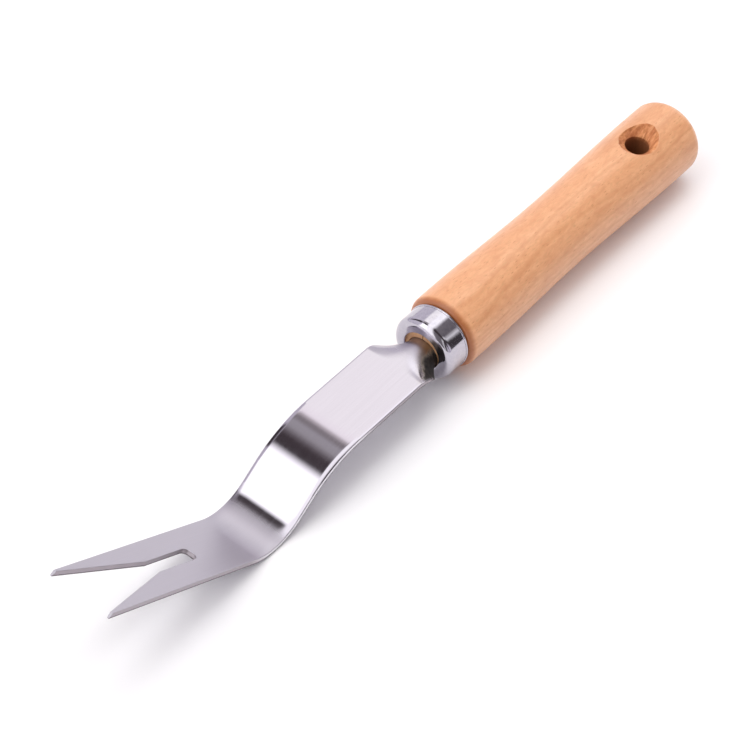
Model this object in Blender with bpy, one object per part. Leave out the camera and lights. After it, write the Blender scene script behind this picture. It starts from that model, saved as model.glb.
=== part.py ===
"""Hand weeder: a forked blade pressed from one strip of sheet, a drawn ferrule and a turned grip.

+X runs along the grip towards the tines and +Z is up. The tool lies as it rests on a bench, on the heel
of the blade and on the butt of the grip, and the origin is the middle of that footprint.
The helpers below work in the grip's own frame, where x = 0 is the front shoulder of the grip and z = 0
is its axis; place() moves a finished mesh to the bench.
"""

import math

import bmesh
import bpy
from mathutils import Matrix, Vector

MM = 0.001

# Blade: one strip of sheet, straight stretches joined by two round bends
SHEET = 2.0 * MM
BLADE_WIDTH = 25.3 * MM
PLATE_HEIGHT = 4.0 * MM            # middle of the sheet above the grip's axis
UPPER_BEND_X = 60.3 * MM           # where the flat plate ends
UPPER_BEND_RADIUS = 39.7 * MM
LOWER_BEND_RADIUS = 19.9 * MM
DESCENT = math.radians(38.6)       # how steeply the middle of the blade goes down
FORK_RISE = math.radians(30.0)     # how steeply the fork comes up again
FORK_LENGTH = 80.0 * MM            # flat length of the fork, up to the tine tips
SHEET_EDGE = 0.2 * MM              # tumbled edge of the stamping
BEND_STEP = math.radians(3.5)

# Fork
NOTCH_DEPTH = 37.2 * MM            # the V, measured back from the tine tips
SLOT_HALF_WIDTH = 3.0 * MM
SLOT_END = 58.6 * MM
SLOT_CORNER = 2.0 * MM
TINE_TIP_WIDTH = 0.8 * MM
TINE_TIP_CORNER = 0.3 * MM
TINE_TIP_GRIND = 1.3 * MM          # length of the slope ground across each tip

# Neck and tang: the full width of the strip rolls under, narrows at two shoulders and fits the socket
TANG_END_X = -46.0 * MM
TANG_RADIUS = 5.6 * MM             # middle of the rolled sheet
TANG_DROP = 0.6 * MM               # how far the roll lets the middle line down
TANG_AXIS_Z = PLATE_HEIGHT - TANG_DROP - TANG_RADIUS
TANG_HALF_WIDTH = 9.4 * MM         # along the sheet, from its middle line to an edge
SHOULDER_X = 17.0 * MM             # front corners of the shoulders
NECK_X = 12.8 * MM                 # where the shoulders run into the tang
NECK_FILLET = 2.0 * MM
SHOULDER_CORNER = 0.8 * MM
ROLL_FROM_X = 27.0 * MM            # flat sheet ahead of this
ROLL_TO_X = 11.0 * MM              # fully rolled behind this
ROLL_EASE = 1.7                    # power by which the curvature grows between the two
ROLL_STEP = math.radians(15.0)

# Ferrule
FERRULE_RADIUS = 13.0 * MM
FERRULE_LENGTH = 10.9 * MM
FERRULE_WALL = 0.9 * MM
FERRULE_NOSE = 2.8 * MM            # radius of the rounded front edge
FERRULE_MOUTH = 7.7 * MM           # radius of the opening inside the turned-in lip
FERRULE_BEAD = 0.3 * MM            # radius of the half-round bead near the rear edge
FERRULE_BEAD_X = 0.9 * MM

# Grip
GRIP_LENGTH = 146.0 * MM
SHOULDER_RADIUS = 15.0 * MM
SHOULDER_ROUND = 3.0 * MM
WAIST_X = -68.0 * MM
WAIST_RADIUS = 14.15 * MM
SWELL_FROM_X = -14.0 * MM
BUTT_FULL_X = -134.0 * MM
BUTT_RADIUS = 15.4 * MM
BUTT_ROUND = 5.0 * MM
TENON_RADIUS = 11.7 * MM
TENON_LENGTH = 9.7 * MM            # its end grain shows inside the ferrule's mouth
TENON_BEVEL = 1.4 * MM             # bevel that clears the ferrule's rounded front
SOCKET_DEPTH = 48.0 * MM
DRILL_POINT = 2.0 * MM             # cone that the drill leaves at the bottom of the socket
HOLE_X = -119.5 * MM
HOLE_RADIUS = 4.8 * MM
HOLE_LEAN = math.radians(3.9)      # the hole leans a little to the +Y side
SINK_RADIUS = 9.4 * MM
SINK_DEPTH = 4.0 * MM

GAP = 0.3 * MM                     # kept between pieces that touch
SOCKET_RADIUS = TANG_RADIUS + SHEET / 2 + GAP
AXIS_X = Vector((1, 0, 0))


def middle_length():
    """Straight length between the bends that brings the heel down to the level of the butt."""
    drop = PLATE_HEIGHT + BUTT_RADIUS - SHEET / 2
    in_bends = (UPPER_BEND_RADIUS + LOWER_BEND_RADIUS) * (1 - math.cos(DESCENT))
    return (drop - in_bends) / math.sin(DESCENT)


# The strip's centre line, as (length, turn) runs that start at x = 0; a straight run turns by 0.
RUNS = (
    (UPPER_BEND_X, 0.0),
    (UPPER_BEND_RADIUS * DESCENT, -DESCENT),
    (middle_length(), 0.0),
    (LOWER_BEND_RADIUS * (DESCENT + FORK_RISE), DESCENT + FORK_RISE),
    (FORK_LENGTH, 0.0),
)
STRIP_LENGTH = sum(length for length, _ in RUNS)


def centre_line(u):
    """Point (x, z) and slope of the sheet's middle, at a length u along the flat strip."""
    x, z, slope = 0.0, PLATE_HEIGHT, 0.0
    for index, (length, turn) in enumerate(RUNS):
        last = index == len(RUNS) - 1
        here = u if last or u < length else length
        if turn:
            radius = length / turn
            angle = slope + here / radius
            x += radius * (math.sin(angle) - math.sin(slope))
            z -= radius * (math.cos(angle) - math.cos(slope))
            slope = angle
        else:
            x += here * math.cos(slope)
            z += here * math.sin(slope)
        u -= here
        if u <= 0 or last:
            break
    return x, z, slope


def press(point):
    """Carry a point of the flat strip (u, v, height above its middle) into the pressed blade."""
    u, v, height = point
    x, z, slope = centre_line(u)
    rolled = min(max((ROLL_FROM_X - u) / (ROLL_FROM_X - ROLL_TO_X), 0.0), 1.0)
    bend = rolled**ROLL_EASE / TANG_RADIUS
    z -= TANG_DROP * rolled * rolled
    if bend > 1e-6:
        angle = v * bend
        radius = 1 / bend + height
        return Vector((x, radius * math.sin(angle), z - 1 / bend + radius * math.cos(angle)))
    return Vector((x - height * math.sin(slope), v, z + height * math.cos(slope)))


TIP = press((STRIP_LENGTH, 0, -SHEET / 2))
ORIGIN = Vector(((TIP.x - GRIP_LENGTH) / 2, 0, -BUTT_RADIUS))


def material(name, colour, metallic, roughness):
    """Plain Principled surface in linear colour."""
    made = bpy.data.materials.new(name)
    made.use_nodes = True
    shader = made.node_tree.nodes["Principled BSDF"]
    shader.inputs["Base Color"].default_value = (*colour, 1)
    shader.inputs["Metallic"].default_value = metallic
    shader.inputs["Roughness"].default_value = roughness
    made.diffuse_color = (*colour, 1)
    return made


def place(mesh_data, name, surface):
    """Give a finished bmesh to a new object, standing on the bench."""
    bmesh.ops.recalc_face_normals(mesh_data, faces=mesh_data.faces)
    bmesh.ops.transform(mesh_data, matrix=Matrix.Translation(-ORIGIN), verts=mesh_data.verts)
    mesh = bpy.data.meshes.new(name)
    mesh_data.to_mesh(mesh)
    mesh_data.free()
    mesh.materials.append(surface)
    mesh.shade_smooth()
    mesh.set_sharp_from_angle(angle=math.radians(32))
    made = bpy.data.objects.new(name, mesh)
    bpy.context.scene.collection.objects.link(made)
    return made


def cut(target, cutter):
    """Take a cutter's shape out of a piece; the cutter itself isn't part of the tool."""
    modifier = target.modifiers.new("cut", "BOOLEAN")
    modifier.operation = "DIFFERENCE"
    modifier.object = cutter
    cutter.hide_render = True
    cutter.display_type = "WIRE"


def arc(centre, radius, start, end, steps):
    """Points of an arc in a plane, angles in degrees."""
    points = []
    for step in range(steps + 1):
        angle = math.radians(start + (end - start) * step / steps)
        points.append((centre[0] + radius * math.cos(angle), centre[1] + radius * math.sin(angle)))
    return points


def rounded_corner(before, corner, after, radius, steps=4):
    """Arc that rounds the corner between two straight stretches of an outline."""
    corner = Vector(corner)
    to_before = (Vector(before) - corner).normalized()
    to_after = (Vector(after) - corner).normalized()
    half = to_before.angle(to_after) / 2
    centre = corner + (to_before + to_after).normalized() * (radius / math.sin(half))
    first = corner + to_before * (radius / math.tan(half)) - centre
    last = corner + to_after * (radius / math.tan(half)) - centre
    sweep = first.angle_signed(last)
    return [tuple(centre + Matrix.Rotation(-sweep * step / steps, 2) @ first) for step in range(steps + 1)]


def blade_half_outline():
    """One half of the strip's outline, from the middle of the slot round to the end of the tang."""
    half = BLADE_WIDTH / 2
    slot_end = (STRIP_LENGTH - SLOT_END, SLOT_HALF_WIDTH)
    slot_mouth = (STRIP_LENGTH - NOTCH_DEPTH, SLOT_HALF_WIDTH)
    tip_inner = (STRIP_LENGTH, half - TINE_TIP_WIDTH)
    tip_outer = (STRIP_LENGTH, half)
    shoulder = (SHOULDER_X, half)
    neck = (NECK_X, TANG_HALF_WIDTH)
    tang_end = (TANG_END_X, TANG_HALF_WIDTH)
    outline = rounded_corner((slot_end[0], 0), slot_end, slot_mouth, SLOT_CORNER)
    outline.append(slot_mouth)
    outline += rounded_corner(slot_mouth, tip_inner, tip_outer, TINE_TIP_CORNER, 3)
    outline += rounded_corner(tip_inner, tip_outer, shoulder, TINE_TIP_CORNER, 3)
    outline += rounded_corner(tip_outer, shoulder, neck, SHOULDER_CORNER)
    outline += rounded_corner(shoulder, neck, tang_end, NECK_FILLET)
    outline += rounded_corner(neck, tang_end, (TANG_END_X, 0), NECK_FILLET)
    return outline


def cut_across(strip, axis, places, behind=math.inf):
    """Score the strip, or what lies behind a length along it, with planes square to an axis."""
    for place_at in places:
        faces = [face for face in strip.faces if max(vert.co.x for vert in face.verts) < behind]
        edges = {edge for face in faces for edge in face.edges}
        verts = {vert for face in faces for vert in face.verts}
        point = Vector((0, 0, 0))
        point[axis] = place_at
        normal = Vector((0, 0, 0))
        normal[axis] = 1
        bmesh.ops.bisect_plane(strip, geom=[*verts, *edges, *faces], dist=1e-7, plane_co=point, plane_no=normal)


def steps_between(start, end, count):
    """Evenly spaced places from start to end, both included."""
    return [start + (end - start) * step / count for step in range(count + 1)]


def make_blade(surface):
    """Stamp the strip, tumble its edges, grind the tine tips, then press the bends and roll the tang."""
    half = blade_half_outline()
    outline = half + [(u, -v) for u, v in reversed(half)]
    strip = bmesh.new()
    bottom = strip.faces.new([strip.verts.new((u, v, -SHEET / 2)) for u, v in outline])
    extruded = bmesh.ops.extrude_face_region(strip, geom=[bottom])["geom"]
    top_verts = [item for item in extruded if isinstance(item, bmesh.types.BMVert)]
    bmesh.ops.translate(strip, verts=top_verts, vec=(0, 0, SHEET))
    bmesh.ops.recalc_face_normals(strip, faces=strip.faces)
    rims = [edge for edge in strip.edges if abs(edge.verts[0].co.z - edge.verts[1].co.z) < SHEET / 2]
    bmesh.ops.bevel(strip, geom=rims, offset=SHEET_EDGE, affect="EDGES", segments=1, profile=0.5, material=-1,
                    clamp_overlap=True)

    slope = Vector((SHEET, 0, TINE_TIP_GRIND)).normalized()
    bmesh.ops.bisect_plane(strip, geom=[*strip.verts, *strip.edges, *strip.faces], dist=1e-7,
                           plane_co=(STRIP_LENGTH, 0, -SHEET / 2 + SHEET_EDGE), plane_no=slope, clear_outer=True)
    bmesh.ops.holes_fill(strip, edges=[edge for edge in strip.edges if edge.is_boundary], sides=0)

    start = 0.0
    for length, turn in RUNS:
        if turn:
            cut_across(strip, 0, steps_between(start, start + length, math.ceil(abs(turn) / BEND_STEP)))
        start += length
    cut_across(strip, 0, steps_between(ROLL_TO_X, ROLL_FROM_X, 10))
    rows = round(BLADE_WIDTH / (TANG_RADIUS * ROLL_STEP))
    scores = steps_between(-BLADE_WIDTH / 2, BLADE_WIDTH / 2, rows)[1:-1]
    cut_across(strip, 1, scores, behind=ROLL_FROM_X + MM / 100)

    for vert in strip.verts:
        vert.co = press(vert.co)
    return place(strip, "blade", surface)


def revolve(outline, sides, name, surface):
    """Turn an outline of (x, radius) points about the grip's axis."""
    turned = bmesh.new()
    verts = [turned.verts.new((x, radius, 0)) for x, radius in outline]
    edges = [turned.edges.new((verts[i], verts[i + 1])) for i in range(len(verts) - 1)]
    if outline[0][1] > 0:
        edges.append(turned.edges.new((verts[-1], verts[0])))
    bmesh.ops.spin(turned, geom=[*verts, *edges], cent=(0, 0, 0), axis=AXIS_X, angle=2 * math.pi,
                   steps=sides, use_merge=True)
    bmesh.ops.remove_doubles(turned, verts=turned.verts, dist=1e-6)
    return place(turned, name, surface)


def ferrule_outline():
    """Section of the ferrule's wall: straight cup, rounded front edge and a lip turned in."""
    nose_centre = (FERRULE_LENGTH - FERRULE_NOSE, FERRULE_RADIUS - FERRULE_NOSE)
    lip_edge = FERRULE_WALL / 2
    bead = arc((FERRULE_BEAD_X, FERRULE_RADIUS), FERRULE_BEAD, 180, 0, 4)
    outside = [(GAP, FERRULE_RADIUS), *bead, *arc(nose_centre, FERRULE_NOSE, 90, 0, 7)]
    lip = arc((FERRULE_LENGTH - lip_edge, FERRULE_MOUTH + lip_edge), lip_edge, 0, -180, 5)
    inside = arc(nose_centre, FERRULE_NOSE - FERRULE_WALL, 0, 90, 4)
    return [*outside, *lip, *inside, (GAP, FERRULE_RADIUS - FERRULE_WALL)]


def grip_radius(x):
    """Radius of the grip's long hourglass, eased between the front, the waist and the butt."""
    if x > WAIST_X:
        share = min((SWELL_FROM_X - x) / (SWELL_FROM_X - WAIST_X), 1.0)
        wide = SHOULDER_RADIUS
    else:
        share = min((x - BUTT_FULL_X) / (WAIST_X - BUTT_FULL_X), 1.0)
        wide = BUTT_RADIUS
    ease = (1 - math.cos(math.pi * max(share, 0.0))) / 2
    return wide + (WAIST_RADIUS - wide) * ease


def grip_outline():
    """Section of the grip from the middle of its tenon, round the outside, to the middle of its butt."""
    tenon = [(TENON_LENGTH, 0), (TENON_LENGTH, TENON_RADIUS - TENON_BEVEL), (TENON_LENGTH - TENON_BEVEL, TENON_RADIUS)]
    shoulder = arc((-SHOULDER_ROUND, SHOULDER_RADIUS - SHOULDER_ROUND), SHOULDER_ROUND, 0, 90, 5)
    body = [(x, grip_radius(x)) for x in steps_between(SWELL_FROM_X, BUTT_FULL_X, 18)]
    butt_centre = (-GRIP_LENGTH + BUTT_ROUND, BUTT_RADIUS - BUTT_ROUND)
    butt = arc(butt_centre, BUTT_ROUND, 90, 180, 7)
    return [*tenon, (0, TENON_RADIUS), *shoulder, *body, *butt, (-GRIP_LENGTH, 0)]


def make_grip(surface):
    """Turn the grip, drill its socket below the middle, then drill and countersink the hanging hole."""
    grip = revolve(grip_outline(), 64, "grip", surface)
    reach = BUTT_RADIUS + MM
    flare = (SINK_RADIUS - HOLE_RADIUS) / SINK_DEPTH
    mouth = SINK_RADIUS + flare * MM
    neck_at = BUTT_RADIUS - SINK_DEPTH
    upper = [(reach, 0), (reach, mouth), (neck_at, HOLE_RADIUS)]
    lower = [(-x, radius) for x, radius in reversed(upper)]
    hole = revolve(upper + lower, 40, "hole_cutter", surface)
    stand = Matrix.Rotation(-HOLE_LEAN, 4, "X") @ Matrix.Rotation(-math.pi / 2, 4, "Y")
    to_hole = Matrix.Translation(Vector((HOLE_X, 0, 0)) - ORIGIN)
    hole.data.transform(to_hole @ stand @ Matrix.Translation(ORIGIN))
    cut(grip, hole)

    bottom = [(-SOCKET_DEPTH - DRILL_POINT, 0), (-SOCKET_DEPTH, SOCKET_RADIUS)]
    drill = revolve([*bottom, (TENON_LENGTH + MM, SOCKET_RADIUS), (TENON_LENGTH + MM, 0)], 44, "socket_cutter", surface)
    drill.data.transform(Matrix.Translation((0, 0, TANG_AXIS_Z)))
    cut(grip, drill)
    return grip


def make_bedding(surface):
    """Set adhesive in the rolled tang: a round core inside it, on what fills the socket below its edges."""
    low = SOCKET_RADIUS - GAP
    core = TANG_RADIUS - SHEET / 2 - GAP
    ledge = low * math.cos(TANG_HALF_WIDTH / TANG_RADIUS) - 1.2 * GAP
    below = [(-y, z) for y, z in arc((0, 0), low, 0, -180, 16)]
    below = [point for point in below if point[1] < ledge - GAP]
    edge = math.sqrt(low * low - ledge * ledge)
    above = [(core, ledge), *arc((0, 0), core, 0, 180, 10), (-core, ledge)]
    section = [(y, z + TANG_AXIS_Z) for y, z in [(-edge, ledge), *below, (edge, ledge), *above]]
    bed = bmesh.new()
    back = bed.faces.new([bed.verts.new((-SOCKET_DEPTH + GAP, y, z)) for y, z in section])
    extruded = bmesh.ops.extrude_face_region(bed, geom=[back])["geom"]
    front_verts = [item for item in extruded if isinstance(item, bmesh.types.BMVert)]
    bmesh.ops.translate(bed, verts=front_verts, vec=(SOCKET_DEPTH - GAP + TENON_LENGTH - MM, 0, 0))
    return place(bed, "tang_bedding", surface)


def build():
    """Clear the scene and make the tool's four pieces."""
    for old in list(bpy.data.objects):
        bpy.data.objects.remove(old, do_unlink=True)
    make_blade(material("polished_stainless", (0.62, 0.60, 0.62), 1.0, 0.12))
    ferrule_finish = material("bright_plate", (0.66, 0.65, 0.67), 1.0, 0.08)
    revolve(ferrule_outline(), 64, "ferrule", ferrule_finish)
    make_grip(material("lacquered_beech", (0.68, 0.38, 0.20), 0.0, 0.4))
    make_bedding(material("set_adhesive", (0.05, 0.035, 0.025), 0.0, 0.6))


build()
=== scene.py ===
# %% [markdown]
# # Hand weeder
# A hand weeder lifts dandelions and thistles with their roots. A forked blade goes in beside the root,
# its heel rests on the soil, and the wooden grip is pushed down. The tool has four real pieces: a blade
# pressed from one strip of stainless steel, a drawn ferrule, a turned beech grip, and the adhesive that
# holds the tang. The CAD model gives the true sizes. It is loaded first and stays fixed. Each piece is
# then made again here in a finer form, to the same dimensions, so that its edges and bends catch the
# light the way the real ones do.

# %% Load the frame
import math

import bmesh
import bpy
from mathutils import Matrix, Vector, noise


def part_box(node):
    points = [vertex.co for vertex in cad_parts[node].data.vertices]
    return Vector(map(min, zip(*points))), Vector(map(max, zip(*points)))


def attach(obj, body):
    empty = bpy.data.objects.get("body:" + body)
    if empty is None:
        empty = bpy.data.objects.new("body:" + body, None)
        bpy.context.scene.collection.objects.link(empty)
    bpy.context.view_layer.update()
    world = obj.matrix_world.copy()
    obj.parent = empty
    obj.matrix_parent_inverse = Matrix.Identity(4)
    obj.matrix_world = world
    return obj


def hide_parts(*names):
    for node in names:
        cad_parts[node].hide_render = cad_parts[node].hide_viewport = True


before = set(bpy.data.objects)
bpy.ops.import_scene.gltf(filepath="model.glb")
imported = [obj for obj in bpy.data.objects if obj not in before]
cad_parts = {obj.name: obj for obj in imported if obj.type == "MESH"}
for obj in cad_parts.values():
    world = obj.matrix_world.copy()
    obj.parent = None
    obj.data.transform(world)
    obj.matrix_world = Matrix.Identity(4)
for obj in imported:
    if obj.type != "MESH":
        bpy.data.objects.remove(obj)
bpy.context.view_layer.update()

# %% [markdown]
# ## Where things are
# It is easiest to think about the tool in the grip's own frame: x = 0 at the front shoulder of the grip,
# and the axis of the grip at z = 0. The CAD boxes say where that point is on the bench. The sizes below
# are full size and are written in millimetres, times `MM`, which turns them to metres.

# %% The grip's own frame
MM = 0.001
GRIP_LENGTH = 146.0 * MM
grip_low, grip_high = (Vector(corner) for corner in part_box("grip"))
HOME = Vector((grip_low.x + GRIP_LENGTH, 0, (grip_low.z + grip_high.z) / 2))
print("front shoulder of the grip at", tuple(round(value / MM, 3) for value in HOME), "mm")

# %% [markdown]
# ## Small helpers for meshes
# Four helpers do most of the work. `section` draws a flat outline from its corners and rounds each corner
# with a vertex bevel, as a draughtsperson puts a radius on a drawing. `turn` spins such an outline about
# the grip's axis, which is what a lathe or a drawing die does. `to_mesh` merges doubles, makes the faces
# point outwards and moves the piece from the grip's frame to the bench.

# %% Outlines with rounded corners
def section(corners):
    """A flat face from (first, second, radius) corners, each rounded to its radius."""
    flat = bmesh.new()
    verts = [flat.verts.new((first, second, 0)) for first, second, _ in corners]
    flat.faces.new(verts)
    for vert, (_, _, radius) in zip(verts, corners):
        if radius:
            ends = [edge.other_vert(vert).co - vert.co for edge in vert.link_edges]
            offset = radius / math.tan(ends[0].angle(ends[1]) / 2)
            segments = max(4, min(14, round(radius / (0.2 * MM))))
            bmesh.ops.bevel(flat, geom=[vert], offset=offset, segments=segments, profile=0.5,
                            affect="VERTICES", material=-1, clamp_overlap=False)
    return flat


# %% Turning and handing over
def turn(corners, sides):
    """Spin an outline of (x, radius) corners about the grip's axis into a closed shell."""
    turned = section(corners)
    bmesh.ops.delete(turned, geom=turned.faces[:], context="FACES_ONLY")
    on_axis = [edge for edge in turned.edges if max(abs(vert.co.y) for vert in edge.verts) < 1e-7]
    bmesh.ops.delete(turned, geom=on_axis, context="EDGES")
    bmesh.ops.spin(turned, geom=[*turned.verts, *turned.edges], cent=(0, 0, 0), axis=(1, 0, 0),
                   angle=2 * math.pi, steps=sides, use_merge=True)
    bmesh.ops.remove_doubles(turned, verts=turned.verts, dist=1e-7)
    bmesh.ops.recalc_face_normals(turned, faces=turned.faces)
    return turned


def to_mesh(shape, name, sharp=30):
    """Bring a finished bmesh to the bench as a new object."""
    bmesh.ops.remove_doubles(shape, verts=shape.verts, dist=1e-7)
    bmesh.ops.recalc_face_normals(shape, faces=shape.faces)
    bmesh.ops.transform(shape, matrix=Matrix.Translation(HOME), verts=shape.verts)
    mesh = bpy.data.meshes.new(name)
    shape.to_mesh(mesh)
    shape.free()
    mesh.shade_smooth()
    mesh.set_sharp_from_angle(angle=math.radians(sharp))
    made = bpy.data.objects.new(name, mesh)
    bpy.context.scene.collection.objects.link(made)
    return made


def hand_over(piece, node, slot, *finishes):
    """Give a piece its finishes and let it stand for its CAD node."""
    for finish in finishes:
        if finish.name not in piece.data.materials:
            piece.data.materials.append(finish)
    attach(piece, "root")
    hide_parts(node)
    print(piece.name, "has", len(piece.data.polygons), "faces and", len(finishes), "finishes")


# %% [markdown]
# ## Small helpers for materials
# A colour given here is an sRGB value, but the renderer adds light up in linear values, so one function
# turns hex colours to linear. A material is a graph of nodes. `node` adds one node and sets or links what
# it is given, and nothing more, so each material below can be read as a list of nodes.

# %% Colour and nodes
def hex_colour(text, strength=1.0):
    """An sRGB hex colour as linear RGBA."""
    parts = [int(text[i:i + 2], 16) / 255 for i in (1, 3, 5)]
    linear = [part / 12.92 if part <= 0.04045 else ((part + 0.055) / 1.055) ** 2.4 for part in parts]
    return (*(part * strength for part in linear), 1)


def node(tree, kind, settings=None, **sockets):
    """Add a node. A socket is named in_0, in_1 ... by number, or by its name with _ for spaces."""
    made = tree.nodes.new(kind)
    for name, value in (settings or {}).items():
        if name == "stops":
            while len(made.color_ramp.elements) < len(value):
                made.color_ramp.elements.new(0.5)
            for element, (place, colour) in zip(made.color_ramp.elements, value):
                element.position = place
                element.color = colour
        else:
            setattr(made, name, value)
    for name, value in sockets.items():
        socket = made.inputs[int(name[3:])] if name.startswith("in_") else made.inputs[name.replace("_", " ")]
        if isinstance(value, bpy.types.NodeSocket):
            tree.links.new(value, socket)
        else:
            socket.default_value = value
    return made


def new_material(name):
    """A material with only its output and an unlinked Principled shader."""
    made = bpy.data.materials.new(name)
    made.use_nodes = True
    shader = made.node_tree.nodes["Principled BSDF"]
    return made, made.node_tree, shader


# %% [markdown]
# ## Finish 1: stainless steel, pressed and mirror polished
# The blade is polished sheet stainless. A polished metal has no colour of its own to speak of: the eye
# reads it from what it mirrors, so the finish is nearly smooth. What makes it steel and not glass is the
# fine polishing grain, lines about 0.1 mm apart that run along the strip and blur reflections one way.
# The lines are drawn about 0.4 mm apart, because finer ones wouldn't show. The neck and everything from the
# heel on are a duller satin, probably because a polishing wheel reaches those hollows badly. In the roll
# of the neck beside the ferrule, a painted dark reflection is laid on the steel. `band` is a soft-edged
# range of one coordinate.

# %% A range with soft ends
def band(tree, value, low, high, soft):
    """1 where a value lies between two limits, falling softly to 0 outside them."""
    rise = node(tree, "ShaderNodeMapRange", {"interpolation_type": "SMOOTHSTEP"}, Value=value,
                From_Min=low - soft, From_Max=low + soft).outputs[0]
    fall = node(tree, "ShaderNodeMapRange", {"interpolation_type": "SMOOTHSTEP"}, Value=value,
                From_Min=high + soft, From_Max=high - soft).outputs[0]
    return node(tree, "ShaderNodeMath", {"operation": "MULTIPLY"}, in_0=rise, in_1=fall).outputs[0]


# %% Polished stainless steel
NECK_SATIN_FROM, NECK_SATIN_TO = 2 * MM, 20 * MM
HEEL_SATIN_FROM, HEEL_SATIN_FULL = 96 * MM, 102 * MM
steel, tree, shader = new_material("stainless_pressed_polished")
spot = node(tree, "ShaderNodeTexCoord").outputs["Object"]
local = node(tree, "ShaderNodeMapping", Vector=spot, Location=-HOME).outputs[0]
parts = node(tree, "ShaderNodeSeparateXYZ", Vector=local).outputs
along = node(tree, "ShaderNodeMapping", Vector=spot, Scale=(40, 2500, 40),
             Rotation=(0.4, 0.0, 0.7)).outputs[0]
lines = node(tree, "ShaderNodeTexNoise", Vector=along, Scale=1.0, Detail=3.0, Roughness=0.6).outputs[0]
gloss = node(tree, "ShaderNodeMapRange", Value=lines, From_Min=0.3, From_Max=0.7, To_Min=0.08, To_Max=0.12)
neck_dull = node(tree, "ShaderNodeMath", {"operation": "MULTIPLY"}, in_1=0.26,
                 in_0=band(tree, parts["X"], NECK_SATIN_FROM, NECK_SATIN_TO, 4 * MM)).outputs[0]
heel_dull = node(tree, "ShaderNodeMapRange", {"interpolation_type": "SMOOTHSTEP"}, Value=parts["X"],
                 From_Min=HEEL_SATIN_FROM, From_Max=HEEL_SATIN_FULL, To_Max=0.3).outputs[0]
dull = node(tree, "ShaderNodeMath", {"operation": "ADD"}, in_0=heel_dull, in_1=neck_dull)
rough = node(tree, "ShaderNodeMath", {"operation": "ADD"}, in_0=gloss.outputs[0], in_1=dull.outputs[0])
tone = node(tree, "ShaderNodeValToRGB", {"stops": [
    (0.3, hex_colour("#B9B4BD")),
    (0.7, hex_colour("#BDB8C1")),
]}, Fac=lines).outputs[0]
fine = node(tree, "ShaderNodeBump", Strength=0.018, Distance=0.02 * MM, Height=lines)
print("steel: satin from", NECK_SATIN_FROM / MM, "to", NECK_SATIN_TO / MM, "mm and beyond",
      HEEL_SATIN_FROM / MM, "mm")

# %% [markdown]
# The painted dark reflection covers one side of the neck only. Noise pushes its edges in and out so that
# they look ragged, and a painted brownish reflection of the wood, wider and softer, surrounds it. Inside
# the dark patch the surface is painted as no longer a metal: it is dark, rough and a little lumpy.

# %% The painted dark reflection at the neck
ragged = node(tree, "ShaderNodeTexNoise", Vector=spot, Scale=520.0, Detail=5.0, Roughness=0.65,
              Distortion=0.5).outputs[0]
slant = node(tree, "ShaderNodeMath", {"operation": "MULTIPLY_ADD"}, in_0=parts["Y"], in_1=-1.1,
             in_2=parts["X"]).outputs[0]
edge_x = node(tree, "ShaderNodeMath", {"operation": "MULTIPLY_ADD"}, in_0=ragged, in_1=4.5 * MM,
              in_2=slant).outputs[0]
edge_y = node(tree, "ShaderNodeMath", {"operation": "MULTIPLY_ADD"}, in_0=ragged, in_1=3.5 * MM,
              in_2=parts["Y"]).outputs[0]
# Painted dark reflection: the mask of the dark patch in the roll of the neck.
dark_reflection_mask = node(tree, "ShaderNodeMath", {"operation": "MULTIPLY"},
             in_0=band(tree, edge_y, 6.2 * MM, 14 * MM, 1.0 * MM),
             in_1=band(tree, edge_x, 1.0 * MM, 13.4 * MM, 1.3 * MM)).outputs[0]
streak = node(tree, "ShaderNodeTexNoise", Vector=spot, Scale=900.0, Detail=3.0).outputs[0]
# Painted dark reflection: the near-black colour of that patch.
dark_reflection_colour = node(tree, "ShaderNodeValToRGB", {"stops": [
    (0.35, hex_colour("#080606")),
    (0.7, hex_colour("#2E2825")),
]}, Fac=streak).outputs[0]
# Painted reflection of the wood: a brownish tint on the steel round the dark patch.
wood_reflection_mask = node(tree, "ShaderNodeMath", {"operation": "MULTIPLY"},
            in_0=band(tree, edge_y, 2.5 * MM, 13 * MM, 2.5 * MM),
            in_1=band(tree, edge_x, -1.0 * MM, 15.5 * MM, 3.0 * MM)).outputs[0]
with_wood_reflection = node(tree, "ShaderNodeMix", {"data_type": "RGBA"}, Factor=wood_reflection_mask, in_6=tone,
               in_7=hex_colour("#A2968B")).outputs[2]
with_painted_reflections = node(tree, "ShaderNodeMix", {"data_type": "RGBA"}, Factor=dark_reflection_mask, in_6=with_wood_reflection,
                in_7=dark_reflection_colour).outputs[2]
rougher = node(tree, "ShaderNodeMix", {"data_type": "FLOAT"}, Factor=dark_reflection_mask, in_2=rough.outputs[0],
               in_3=0.7)
metal = node(tree, "ShaderNodeMath", {"operation": "SUBTRACT"}, in_0=1.0, in_1=dark_reflection_mask).outputs[0]
dark_patch_relief = node(tree, "ShaderNodeMath", {"operation": "MULTIPLY"}, in_0=dark_reflection_mask, in_1=ragged).outputs[0]
lumps = node(tree, "ShaderNodeBump", Strength=0.5, Distance=0.2 * MM, Height=dark_patch_relief, Normal=fine.outputs[0])
tree.links.new(with_painted_reflections, shader.inputs["Base Color"])
tree.links.new(metal, shader.inputs["Metallic"])
tree.links.new(rougher.outputs[0], shader.inputs["Roughness"])
tree.links.new(lumps.outputs[0], shader.inputs["Normal"])
print("steel:", len(tree.nodes), "nodes")
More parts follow.
